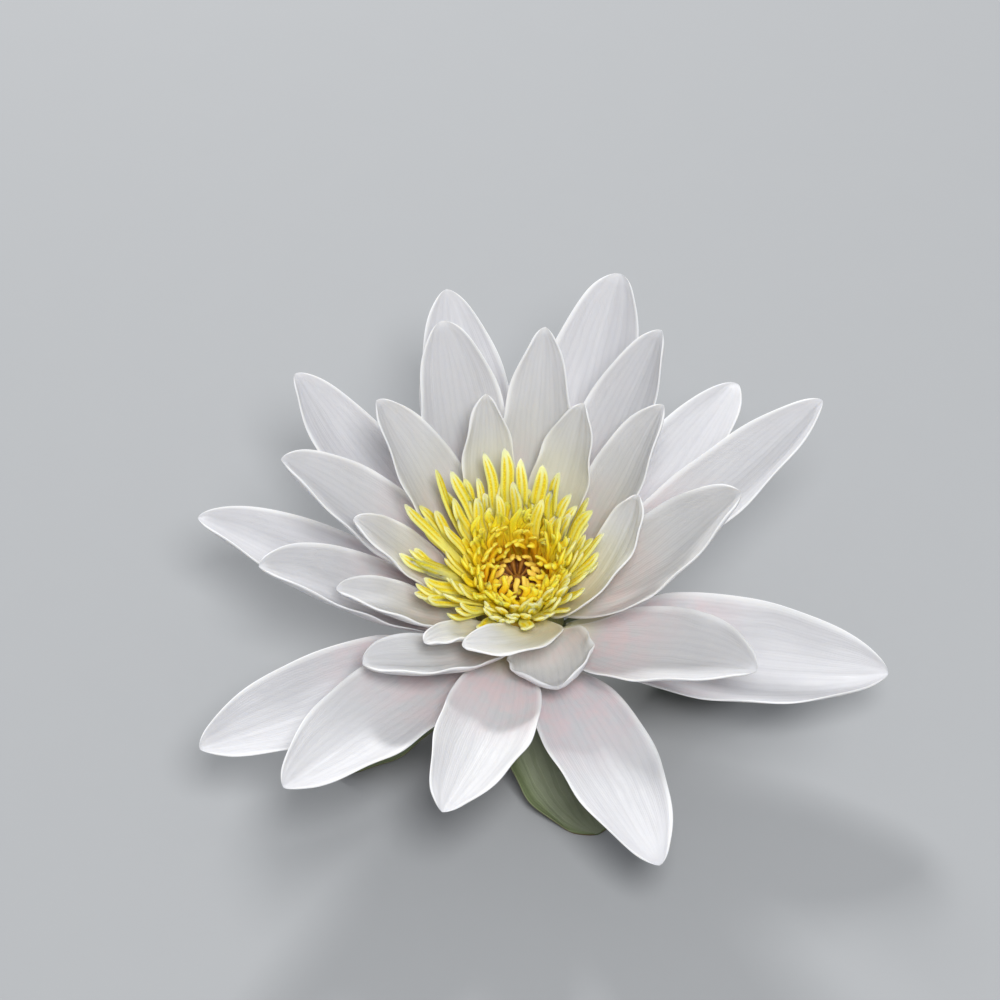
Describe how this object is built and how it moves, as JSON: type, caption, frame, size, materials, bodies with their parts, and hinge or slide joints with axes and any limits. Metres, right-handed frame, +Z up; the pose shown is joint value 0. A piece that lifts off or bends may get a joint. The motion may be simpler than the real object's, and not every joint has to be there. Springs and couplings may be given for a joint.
{
  "type": "water lily flower",
  "caption": "Open white water lily bloom as picked, with layered pointed petals round a tuft of golden stamens, lying on its spread sepals.",
  "frame": {"origin": "middle of the bloom's outline seen from above, on the surface it lies on", "axes": "+Z up along the bloom's own axis, out of the stamens; +X to the right and +Y to the back, where the petals stand highest"},
  "size_m": [0.1362, 0.1284, 0.0622],
  "materials": {
    "petal": "satin white, faint pink at the base",
    "sepal": "satin olive green outside, greenish white inside",
    "stalk": "satin olive green",
    "pale_stamen": "matte pale yellow",
    "golden_stamen": "matte golden yellow",
    "stigma": "matte orange yellow"
  },
  "bodies": {
    "root": {"outer_petal_1": "petal", "outer_petal_2": "petal", "outer_petal_3": "petal", "outer_petal_4": "petal", "outer_petal_5": "petal", "outer_petal_6": "petal", "outer_petal_7": "petal", "outer_petal_8": "petal", "second_petal_1": "petal", "second_petal_2": "petal", "second_petal_3": "petal", "second_petal_4": "petal", "second_petal_5": "petal", "second_petal_6": "petal", "second_petal_7": "petal", "second_petal_8": "petal", "third_petal_1": "petal", "third_petal_2": "petal", "third_petal_3": "petal", "third_petal_4": "petal", "third_petal_5": "petal", "third_petal_6": "petal", "third_petal_7": "petal", "third_petal_8": "petal", "inner_petal_1": "petal", "inner_petal_2": "petal", "inner_petal_3": "petal", "inner_petal_4": "petal", "inner_petal_5": "petal", "sepal_1": "sepal", "sepal_2": "sepal", "sepal_3": "sepal", "sepal_4": "sepal", "stalk_and_pistil": "stalk", "stigma": "stigma", "outer_stamens": "pale_stamen", "inner_stamens": "golden_stamen"}
  },
  "joints": []
}
